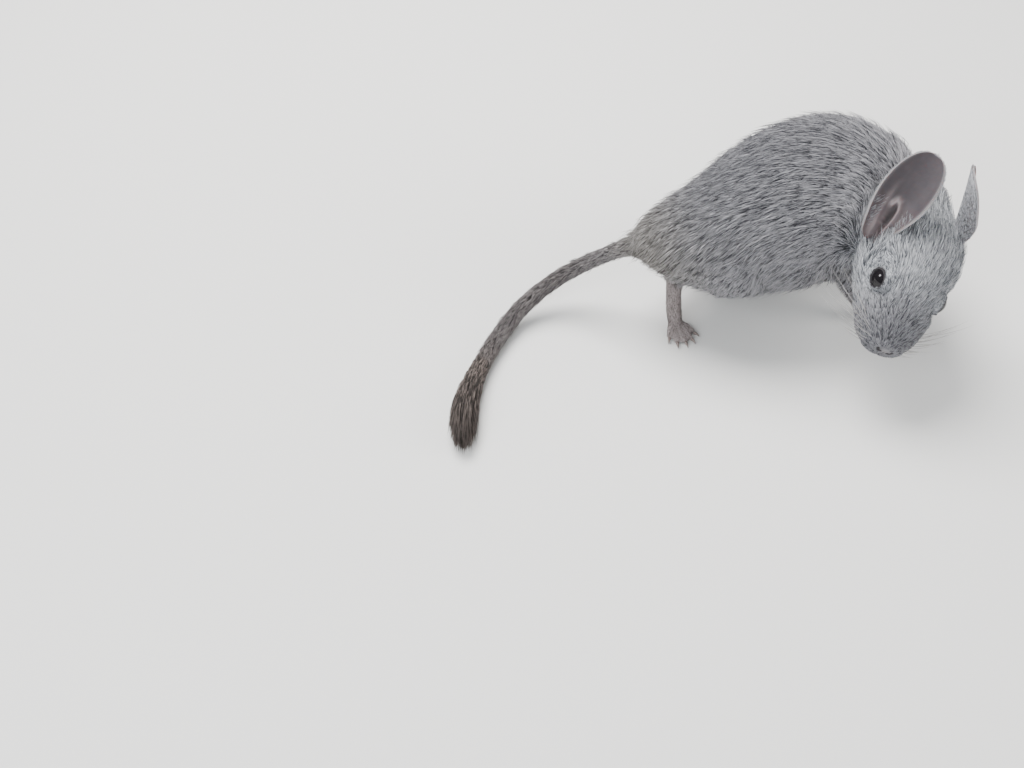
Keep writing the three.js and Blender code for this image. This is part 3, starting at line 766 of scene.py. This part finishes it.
# Roots, spread over the skin by each part's density
mesh_uv = np.empty(len(mesh.loops) * 2)
mesh.uv_layers["OFBake"].data.foreach_get("uv", mesh_uv)
mesh_uv = mesh_uv.reshape(-1, 3, 2)
kinds = [next(k for k in FUR if n.startswith(k)) for n in FLESH_NAMES]
fur = np.array([FUR[k] for k in kinds])[part]
for _ in range(12):
    fur = mean(fur)
p = places[triangles]
area = np.linalg.norm(np.cross(p[:, 1] - p[:, 0], p[:, 2] - p[:, 0]), axis=1) / 2
wanted = np.cumsum(area * fur[triangles, 0].mean(1))
rng = np.random.default_rng(TUFT_SEED)
number = int(wanted[-1])
spread = (np.arange(number) + rng.random(number)) * wanted[-1] / number
face = np.searchsorted(wanted, spread).clip(0, len(area) - 1)
a = np.sqrt(rng.random(number))
b = rng.random(number)
share = np.stack([1 - a, a * (1 - b), a * b], axis=1)


def at_roots(values):
    values = values[triangles[face]]
    return (values * (share if values.ndim == 2 else share[:, :, None])).sum(1)


root, normal = at_roots(places), unit(at_roots(normals))
hair_lie = along_skin(at_roots(lie), normal)
root_part = part[triangles[face, 0]]
root_uv = (mesh_uv[face] * share[:, :, None]).sum(1)
fur_length, fur_width = at_roots(fur[:, 1]), at_roots(fur[:, 2])
local = to_head(root)
on_head = root_part == FLESH_NAMES.index("head")
length = fur_length * np.where(on_head, np.interp(local[:, 0], (8, 22, 36, 43), (1.25, 1.0, 0.62, 0.3)), 1)
keep = np.ones(number, bool)
for _, ear_root, _, _ in EARS.values():
    length = length * (1 + 0.35 * np.exp(-((local - ear_root) ** 2).sum(1) / 7 ** 2))
for side in (-1, 1):
    reach, _, ring = round_eye(local, side)
    by_eye = reach < 6.5
    keep &= ~(by_eye & (ring < 1.08))
    length = np.where(by_eye, length * np.interp(ring, (1.08, 2.4), (0.22, 1)), length)
keep &= np.exp(-((local - NOSE_PAD) ** 2 / NOSE_SIZE ** 2).sum(1)) < 0.45
keep &= (at_roots(from_nostril) > 0.75) & ~(on_head & (at_roots(mouth) > 0.6))
keep &= rng.random(number) > 0.93 * conch(local)
keep &= ~((normal[:, 2] < -0.35) & (root[:, 2] < 3) & np.isin(root_part, FEET))
height = np.interp(length, (0.5, 1.3, 3, 5), (0.12, 0.22, 0.85, 1.95))
is_tail = np.char.startswith(np.array(FLESH_NAMES)[root_part], "tail")
height = np.where(is_tail, 0.8, height) * np.where(on_head, 0.72, 0.92)
length = length * rng.uniform(0.75, 1.2, number) * (1 + 0.12 * drift(root, 9, 3))
height = height * rng.uniform(0.55, 1.25, number)
sway = 0.10 * drift(root, 18, 4) + 0.07 * drift(root, 5, 5) + rng.normal(0, 0.08, number)
hair_lie = unit(hair_lie + np.cross(normal, hair_lie) * sway[:, None])
shade = rng.random(number)
guard = rng.random(number) < 0.07
length, height = length * (1 + 0.25 * guard), height * (1 + 0.6 * guard)

keep = np.flatnonzero(keep)
root, normal, hair_lie = root[keep], normal[keep], hair_lie[keep]
length, height, shade = length[keep], height[keep], shade[keep]
middle, middle_normal = on_skin(root + hair_lie * (length * 0.5)[:, None])
onward = along_skin(hair_lie, middle_normal)
tip, tip_normal = on_skin(middle + onward * (length * 0.5)[:, None])
tip = tip + tip_normal * height[:, None]
middle = middle + middle_normal * (height * 0.72)[:, None]
base = root - normal * 0.15
for points, lowest in ((base, 0.05), (middle, 0.15), (tip, 0.15)):
    points[:, 2] = np.maximum(points[:, 2], lowest)

# Tips gather towards that of a leading tuft nearby
leaders = rng.choice(len(root), len(root) // 9, replace=False)
tree = KDTree(len(leaders))
for i, leader in enumerate(leaders):
    tree.insert(root[leader], i)
tree.balance()
leader = leaders[[tree.find(r)[1] for r in root]]
tip = tip + 0.35 * (tip[leader] - tip) * (np.linalg.norm(tip[leader] - tip, axis=1) < 2.2)[:, None]
shade = np.clip(shade * 0.8 + 0.2 * shade[leader], 0, 1)
values = {"shade": shade, **{name: at_roots(v)[keep] for name, v in marks.items()}}


def hair_finish(name, tick):
    """Hair, dark at the root and pale further out, among which the given share of hairs stays dark."""
    made = Finish(name, roughness=0.62, specular_ior_level=0.35)
    along, own = made.attribute("along"), made.attribute("shade")
    dark = own.risen(tick, tick - 0.06)
    pale = (along * 1.1 + 0.2 + (own - 0.6) * 0.9) * (1 - dark * 0.85)
    colour = made.blend(pale.clamped(), marked(made, 1), marked(made, 0))
    made.set(Base_Color=colour)
    return made.material


coat_finish = hair_finish("ticked coat", 0.34)
face_finish = hair_finish("frosted face coat", 0.34)
tail_finish = hair_finish("tail coat", 0.3)
groups = {
    "coat_trunk": (("torso", "neck"), "coat", coat_finish),
    "coat_head": (("head",), "face_coat", face_finish),
    "coat_legs": (("fore", "hind"), "coat", coat_finish),
    "coat_tail": (("tail",), "tail_coat", tail_finish),
}
kept_part = np.array(FLESH_NAMES)[root_part[keep]]
for group, (starts, slot, finish) in groups.items():
    members = np.flatnonzero(np.any([np.char.startswith(kept_part, s) for s in starts], axis=0))
    members = members[np.argsort(root[members, 0], kind="stable")]
    pieces = math.ceil(len(members) / TUFTS_IN_PIECE)
    for i, chosen in enumerate(np.array_split(members, pieces)):
        made = tuft_piece(f"{group}_{i + 1}", base[chosen], middle[chosen], tip[chosen], normal[chosen],
                          fur_width[keep][chosen] * (0.8 + 0.4 * shade[chosen]),
                          {k: v[chosen] for k, v in values.items()}, root_uv[keep][chosen])
        made.data.materials.append(finish)

# Tail brush: longer, darker hairs that stand off all round the tail's last quarter and lie along it.
BRUSH_FROM, BRUSH_FULL, BRUSH_TO = 0.70, 0.86, 0.945
BRUSH_TUFTS, BRUSH_LENGTH, BRUSH_WIDTH = 5200, 12.0, 0.42
TAIL_LENGTH = np.linalg.norm(np.diff(TAIL, axis=0), axis=1).sum()
rng = np.random.default_rng(TUFT_SEED + 1)
s = BRUSH_FROM + (BRUSH_TO - BRUSH_FROM) * rng.random(BRUSH_TUFTS) ** 0.8


def tail_at(s):
    """Places on the tail's midline, and its direction there; past the end it runs straight on."""
    where = s * (len(TAIL) - 1)
    whole = np.clip(where, 0, len(TAIL) - 1)
    place, along = (between(whole, np.arange(len(TAIL)), line) for line in (TAIL, TAIL_ALONG))
    span = TAIL_LENGTH / (len(TAIL) - 1)
    return place + along * ((where - whole) * span)[:, None], unit(along)


start, along = tail_at(s)
turn_round = rng.uniform(0, 2 * np.pi, BRUSH_TUFTS)
side = unit(np.cross(along, (0.1, 0.1, 1)))
out = side * np.cos(turn_round)[:, None] + np.cross(side, along) * np.sin(turn_round)[:, None]
grown = step(s, BRUSH_FROM - 0.02, BRUSH_FULL)
near_end = step(s, BRUSH_FULL, BRUSH_TO)
long = BRUSH_LENGTH * (0.35 + 0.65 * grown) * (1 - 0.25 * near_end) * rng.uniform(0.5, 1.08, BRUSH_TUFTS)
stand = (0.7 + 3.0 * grown) * (1 - 0.4 * near_end) * rng.uniform(0.2, 1.0, BRUSH_TUFTS)
core = np.interp(s, (0.7, 0.95), (2.2, 1.0))
half_way, _ = tail_at(s + long * 0.5 / TAIL_LENGTH)
end, _ = tail_at(s + long / TAIL_LENGTH)
base = start + out * (core * 0.9)[:, None]
middle = half_way + out * (core + stand * 0.6)[:, None]
tip = end + out * (core * 0.6 + stand)[:, None]
for points in (base, middle, tip):
    points[:, 2] = np.maximum(points[:, 2], 0.2)
shade = rng.random(BRUSH_TUFTS)
width = BRUSH_WIDTH * rng.uniform(0.7, 1.2, BRUSH_TUFTS)
brush_uv = np.stack([0.02 + 0.96 * (s - BRUSH_FROM) / (BRUSH_TO - BRUSH_FROM), turn_round / 6.3], axis=1)
values = {"shade": shade, **{mark: shade * 0 + (mark == "tail") for mark in marks}}
brush = tuft_piece("tail_brush_hair", base, middle, tip, out, width, values, brush_uv)
brush.data.materials.append(hair_finish("tail brush", 0.45))
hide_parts("tail_brush")

# Ears: thin bowls of nearly bare skin with folds of gristle low inside, standing in the scalp. Short
# hair clothes their backs and a fine pale fringe runs round the rim.
EAR_LENGTH, EAR_HALF_WIDTH, EAR_ROOT_DEPTH = 24.5, 7.8, 3.5
EAR_RISES, EAR_ACROSS = 84, 60
EAR_GRAIN = 420.0
EAR_ARCH = np.array([
    (0.13, -0.24), (0.22, -0.27), (0.31, -0.25), (0.4, -0.18), (0.46, -0.04), (0.47, 0.1), (0.42, 0.2),
])
spots = np.linspace(0, len(EAR_ARCH) - 1, 40)
EAR_ARCH_POINTS = between(spots, range(len(EAR_ARCH)), EAR_ARCH)


def ear_fold(u, v, u0, v0, du, dv):
    return np.exp(-((u - u0) / du) ** 2 - ((v - v0) / dv) ** 2)


def ear_pit(u, v):
    return ear_fold(u, v, 0.28, 0.0, 0.15, 0.14)


def ear_gristle(u, v):
    """Height of the folds in the ear's hollow: an arch round a pit, bars in it and a swelling beside it."""
    arch = np.min([((u - a) / 0.035) ** 2 + ((v - b) / 0.1) ** 2 for a, b in EAR_ARCH_POINTS], axis=0)
    bars = np.maximum(np.sin(u * 130), 0) * step(u, 0.36, 0.28) * ear_fold(u, v, 0.24, 0.02, 0.12, 0.16)
    lobe = 0.9 * ear_fold(u, v, 0.17, 0.42, 0.1, 0.22) + 0.5 * ear_fold(u, v, 0.42, 0.45, 0.16, 0.12)
    return 1.3 * np.exp(-arch) + lobe - 0.3 * ear_pit(u, v) + 0.3 * bars


def ear_point(ear, u, v, outer):
    """Points of an ear at height u (0 root, 1 tip) and across v (-1 to 1), on its back or its hollow."""
    side, root, axis, facing = EARS[ear]
    tip, hollow, across = ear_frame(side, axis, facing)
    reach = EAR_HALF_WIDTH * (0.84 + 0.16 * step(u, 0, 0.6))
    reach = reach * np.sqrt(np.maximum(1 - np.abs(u) ** 5, 0.017))
    reach = reach * np.sqrt(1 - 0.87 * (1 - np.minimum(u, 0.34) / 0.34) ** 2)
    reach = reach * (1 - 0.28 * step(v, 0, -1) * step(u, 0.55, 0.1))
    bend = 4.6 + 6.4 * step(u, 0.1, 0.8)
    thick = 0.66 - 0.22 * u
    offset = -thick / 2 if outer else thick / 2 + 0.15 * np.abs(v) ** 6 + ear_gristle(u, v)
    angle = v * reach / bend
    x = bend * (1 - np.cos(angle)) + offset * np.cos(angle) - 2.2 * u * u
    y = side * (bend * np.sin(angle) - offset * np.sin(angle))
    height = -EAR_ROOT_DEPTH + (EAR_LENGTH + EAR_ROOT_DEPTH) * u
    here = np.array(root) + height[:, None] * tip + x[:, None] * hollow + y[:, None] * across
    return from_head(here)


def ear_mesh(ear):
    u = np.sin(np.linspace(0.0, np.pi / 2, EAR_RISES + 1))
    v = np.linspace(-1, 1, EAR_ACROSS + 1)
    grid_u, grid_v = (g.ravel() for g in np.meshgrid(u, v, indexing="ij"))
    back, front = ear_point(ear, grid_u, grid_v, True), ear_point(ear, grid_u, grid_v, False)
    wide, count = EAR_ACROSS + 1, len(grid_u)
    faces = []
    for i in range(EAR_RISES):
        for j in range(EAR_ACROSS):
            a = i * wide + j
            b, c, d = a + 1, a + wide + 1, a + wide
            faces += [(a, b, c), (a, c, d)]
            faces += [(a + count, c + count, b + count), (a + count, d + count, c + count)]
    edge = [i * wide for i in range(EAR_RISES + 1)] + [EAR_RISES * wide + j for j in range(1, wide)]
    edge += [i * wide + wide - 1 for i in range(EAR_RISES - 1, -1, -1)] + list(range(wide - 2, 0, -1))
    for a, b in zip(edge, edge[1:] + edge[:1]):
        faces += [(a, b + count, b), (a, a + count, b + count)]
    faces = np.array(faces)
    places = np.concatenate([back, front])
    p = places[faces]
    if np.einsum("ij,ij->i", p[:, 0], np.cross(p[:, 1], p[:, 2])).sum() < 0:
        faces = faces[:, ::-1]
    mesh = new_mesh(ear, places, faces)
    rim = np.maximum(np.abs(grid_v) ** 24 * np.where(grid_v < 0, 1, 0.65), step(grid_u, 0.985, 1.0))
    paint(mesh, "pit", np.concatenate([grid_u * 0, ear_pit(grid_u, grid_v)]))
    paint(mesh, "gristle", np.concatenate([grid_u * 0, ear_gristle(grid_u, grid_v)]))
    paint(mesh, "rim", np.tile(rim, 2))
    paint(mesh, "rise", np.tile(grid_u, 2))
    paint(mesh, "inside", np.repeat((0.0, 1.0), count))
    return mesh


ear_finish = Finish("ear skin", roughness=0.55, subsurface_weight=0.12, subsurface_scale=0.002)
rise, rim = ear_finish.attribute("rise"), ear_finish.attribute("rim")
veins = ear_finish.noise(EAR_GRAIN, 3.0)
colour = ear_finish.blend(((rise - 0.2) * 3.0).clamped(), (0.10, 0.078, 0.082, 1), (0.040, 0.034, 0.039, 1))
colour = ear_finish.blend((veins - 0.4).clamped() * 0.8, colour, (0.07, 0.056, 0.06, 1))
# Near black in the pit: painted shade in the hollow of the ear
colour = ear_finish.blend(ear_finish.attribute("pit") * 0.95, colour, (0.010, 0.008, 0.009, 1))
# Paler on the folds of gristle: partly their paler skin, partly painted highlight on the ridges
colour = ear_finish.blend((ear_finish.attribute("gristle") * 0.6).clamped(), colour, (0.22, 0.185, 0.19, 1))
colour = ear_finish.blend(ear_finish.attribute("inside"), (0.15, 0.14, 0.145, 1), colour)
colour = ear_finish.blend((rim * 0.8).clamped(), colour, (0.30, 0.29, 0.30, 1))
ear_finish.set(Base_Color=colour, Normal=ear_finish.bump(veins, 0.3, 0.0004))
for ear in EARS:
    piece = new_piece(f"{ear}_skin", ear_mesh(ear))
    piece.data.materials.append(ear_finish.material)
    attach(piece, "root")
    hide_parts(ear)

# Short hair on the ears: on the back, round the rim and at the front's foot, counted in that order
EAR_BACK_TUFTS, EAR_RIM_TUFTS, EAR_ROOT_TUFTS = 2600, 520, 160
rng = np.random.default_rng(TUFT_SEED + 2)
hair = []
for number, ear in enumerate(EARS):
    u = np.concatenate([rng.uniform(0.1, 0.97, EAR_BACK_TUFTS), rng.uniform(0.3, 0.985, EAR_RIM_TUFTS),
                        rng.uniform(0.12, 0.42, EAR_ROOT_TUFTS)])
    v = np.concatenate([rng.uniform(-0.96, 0.96, EAR_BACK_TUFTS), rng.choice((-0.97, 0.97), EAR_RIM_TUFTS),
                        rng.choice((-1, 1), EAR_ROOT_TUFTS) * rng.uniform(0.55, 0.98, EAR_ROOT_TUFTS)])
    kind = np.repeat((0, 1, 2), (EAR_BACK_TUFTS, EAR_RIM_TUFTS, EAR_ROOT_TUFTS))
    back, front = ear_point(ear, u, v, True), ear_point(ear, u, v, False)
    further = ear_point(ear, np.minimum(u + 0.03, 0.995), v, True)
    up = unit(back - front)
    along = unit(further - back)
    sideways = np.sign(v)[:, None] * unit(ear_point(ear, u, np.minimum(v + 0.02, 1), True) -
                                          ear_point(ear, u, v - 0.02, True))
    at_back, at_root = (kind == 0)[:, None], (kind == 2)[:, None]
    up = np.where(at_root, -up, up)
    start = np.where(at_root, front, back)
    heading = np.where(at_back, along, unit(along * 0.8 + sideways * (0.45 - 0.9 * at_root)))
    long = np.choose(kind, (1.5, 0.7, 1.5)) * rng.uniform(0.7, 1.25, len(u))
    rise_off = np.choose(kind, (0.22, 0.1, 0.5)) * rng.uniform(0.5, 1.2, len(u))
    sway = rng.normal(0, 0.14, heading.shape)
    heading = unit(heading + sway - up * (sway * up).sum(1, keepdims=True))
    middle = start + heading * (long * 0.5)[:, None] + up * (rise_off * 0.8)[:, None]
    tip = start + heading * long[:, None] + up * rise_off[:, None]
    width = np.choose(kind, (0.2, 0.1, 0.1)) * rng.uniform(0.8, 1.2, len(u))
    shade = np.where(kind == 0, rng.uniform(0.3, 1, len(u)), rng.uniform(0.5, 1, len(u)))
    hair_uv = np.stack([0.02 + 0.46 * (u + number), 0.5 + 0.47 * v], axis=1) * (0.98, 1)
    hair.append((start - up * 0.08, middle, tip, up, width, shade, hair_uv))
base, middle, tip, up, width, shade, hair_uv = (np.concatenate(column) for column in zip(*hair))
values = {"shade": shade, **{mark: shade * 0 + 0.5 * (mark == "frost") for mark in marks}}
piece = tuft_piece("ear_hair", base, middle, tip, up, width, values, hair_uv)
piece.data.materials.append(face_finish)

# Eyes: bulging wet black globes, set between the lids.
EYE_RINGS, EYE_SECTORS = 32, 64
eye_places, eye_faces = [], []
for side in (-1, 1):
    gaze = unit(EYE_GAZE * (1, side, 1))
    made = bmesh.new()
    bmesh.ops.create_uvsphere(made, u_segments=EYE_SECTORS, v_segments=EYE_RINGS, radius=EYE_RADIUS)
    bmesh.ops.triangulate(made, faces=made.faces)
    turn = np.array(Vector(gaze).to_track_quat("Z", "Y").to_matrix())
    points = np.array([v.co for v in made.verts]) @ turn.T + EYE_PLACE * (1, side, 1)
    eye_faces.append(np.array([[v.index for v in f.verts] for f in made.faces]) + sum(map(len, eye_places)))
    eye_places.append(from_head(points))
    made.free()
eyes = new_piece("eyes", new_mesh("eyes", np.concatenate(eye_places), np.concatenate(eye_faces)))
eye_finish = Finish("wet black eye", base_color=(0.005, 0.004, 0.005, 1), roughness=0.05,
                    specular_ior_level=0.35)
eyes.data.materials.append(eye_finish.material)
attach(eyes, "root")
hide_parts("eye_right", "eye_left")

# Claws and whiskers: slim horn claws growing from the toes and stiff pale hairs from the muzzle's
# sides. One node tree turns bare lines into tapering rods, thickest at each line's first point.
ROD_TAPER_FROM, ROD_TAPER_POWER = 1.03, 0.7
CLAW_THICKNESS, CLAW_SIDES, CLAW_ARCH = 0.5, 10, 0.25
WHISKER_THICKNESS, WHISKER_SIDES = 0.1, 5
WHISKER_ROWS, WHISKERS_IN_ROW = 4, 5
WHISKER_SWEEP = np.array((-0.22, 0, -0.12)) @ HEAD


def rods_tree():
    tree = bpy.data.node_groups.new("tapering rods", "GeometryNodeTree")
    face = tree.interface
    face.new_socket("Lines", in_out="INPUT", socket_type="NodeSocketGeometry")
    ids = {name: face.new_socket(name, in_out="INPUT", socket_type=kind).identifier
           for name, kind in (("Thickness", "NodeSocketFloat"), ("Sides", "NodeSocketInt"),
                              ("Finish", "NodeSocketMaterial"))}
    face.new_socket("Rods", in_out="OUTPUT", socket_type="NodeSocketGeometry")
    add = tree.nodes.new
    given = add("NodeGroupInput")
    result = add("NodeGroupOutput")
    curve = add("GeometryNodeMeshToCurve")
    circle = add("GeometryNodeCurvePrimitiveCircle")
    sweep = add("GeometryNodeCurveToMesh")
    place = add("GeometryNodeSplineParameter")
    taper = add("ShaderNodeMath")
    power = add("ShaderNodeMath")
    smooth = add("GeometryNodeSetShadeSmooth")
    real = add("GeometryNodeRealizeInstances")
    colour = add("GeometryNodeSetMaterial")
    taper.operation = "SUBTRACT"
    taper.inputs[0].default_value = ROD_TAPER_FROM
    power.operation = "POWER"
    power.inputs[1].default_value = ROD_TAPER_POWER
    sweep.inputs["Fill Caps"].default_value = True
    for source, output, target, socket in (
        (given, "Lines", curve, "Mesh"), (given, "Thickness", circle, "Radius"),
        (given, "Sides", circle, "Resolution"), (place, "Factor", taper, 1), (taper, 0, power, 0),
        (curve, "Curve", sweep, "Curve"), (circle, "Curve", sweep, "Profile Curve"),
        (power, 0, sweep, "Scale"), (sweep, "Mesh", smooth, "Geometry"),
        (smooth, "Geometry", real, "Geometry"), (real, "Geometry", colour, "Geometry"),
        (given, "Finish", colour, "Material"), (colour, "Geometry", result, "Rods"),
    ):
        tree.links.new(source.outputs[output], target.inputs[socket])
    return tree, ids


RODS, ROD_INPUTS = rods_tree()


def rods(name, lines, thickness, sides, finish):
    """A piece of tapering rods along the given lines of points, in millimetres."""
    mesh = bpy.data.meshes.new(name)
    starts = np.cumsum([0] + [len(line) for line in lines])
    edges = [(a + i, a + i + 1) for a, line in zip(starts, lines) for i in range(len(line) - 1)]
    mesh.from_pydata(metres(np.concatenate(lines)).tolist(), edges, [])
    piece = new_piece(name, mesh)
    modifier = piece.modifiers.new("rods", "NODES")
    modifier.node_group = RODS
    for key, value in (("Thickness", thickness * 0.001), ("Sides", sides), ("Finish", finish.material)):
        modifier[ROD_INPUTS[key]] = value
    evaluated(piece)
    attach(piece, "root")
    return piece


claws = [f"claw_{foot}_{i + 1}" for foot, count in (("forepaw_right", 4), ("forepaw_left", 4),
                                                    ("hindfoot_right", 5), ("hindfoot_left", 5))
         for i in range(count)]
lines = []
for claw in claws:
    points, _ = merged_copy(claw)
    foot_low, foot_high = (millimetres(c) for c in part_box(claw.split("_", 1)[1].rsplit("_", 1)[0]))
    away = (points - (foot_low + foot_high) / 2) * (1, 1, 0)
    tip = points[np.argmax((away ** 2).sum(1))]
    spread = np.linalg.norm(points - tip, axis=1)
    start = points[spread > spread.max() * 0.8].mean(0)
    t = np.linspace(0, 1, 7)[:, None]
    lines.append(start + (tip - start) * t + np.array((0, 0, CLAW_ARCH)) * 4 * t * (1 - t))
claw_finish = Finish("claw horn", base_color=(0.16, 0.13, 0.12, 1), roughness=0.35)
piece = rods("claws", lines, CLAW_THICKNESS, CLAW_SIDES, claw_finish)
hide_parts(*claws)

rng = np.random.default_rng(TUFT_SEED + 3)
lines = []
for side in (-1, 1):
    for row in range(WHISKER_ROWS):
        for i in range(WHISKERS_IN_ROW):
            start = np.array((41.0 - 1.5 * i, side * (4.6 + 0.55 * i), 0.4 - 1.5 * row))
            start, normal = on_skin([from_head(start)])
            aim = np.array((-0.05 - 0.1 * i, side * 1.0, 0.5 - 0.26 * row)) + rng.normal(0, 0.09, 3)
            long = (6 + 2.4 * i) * rng.uniform(0.8, 1.1)
            t = np.linspace(0, 1, 9)[:, None]
            aim = unit(aim @ HEAD)
            lines.append(start[0] - normal[0] * 0.4 + aim * long * t + WHISKER_SWEEP * long * t * t)
whisker_finish = Finish("whisker", base_color=(0.30, 0.29, 0.285, 1), roughness=0.4)
piece = rods("whiskers", lines, WHISKER_THICKNESS, WHISKER_SIDES, whisker_finish)
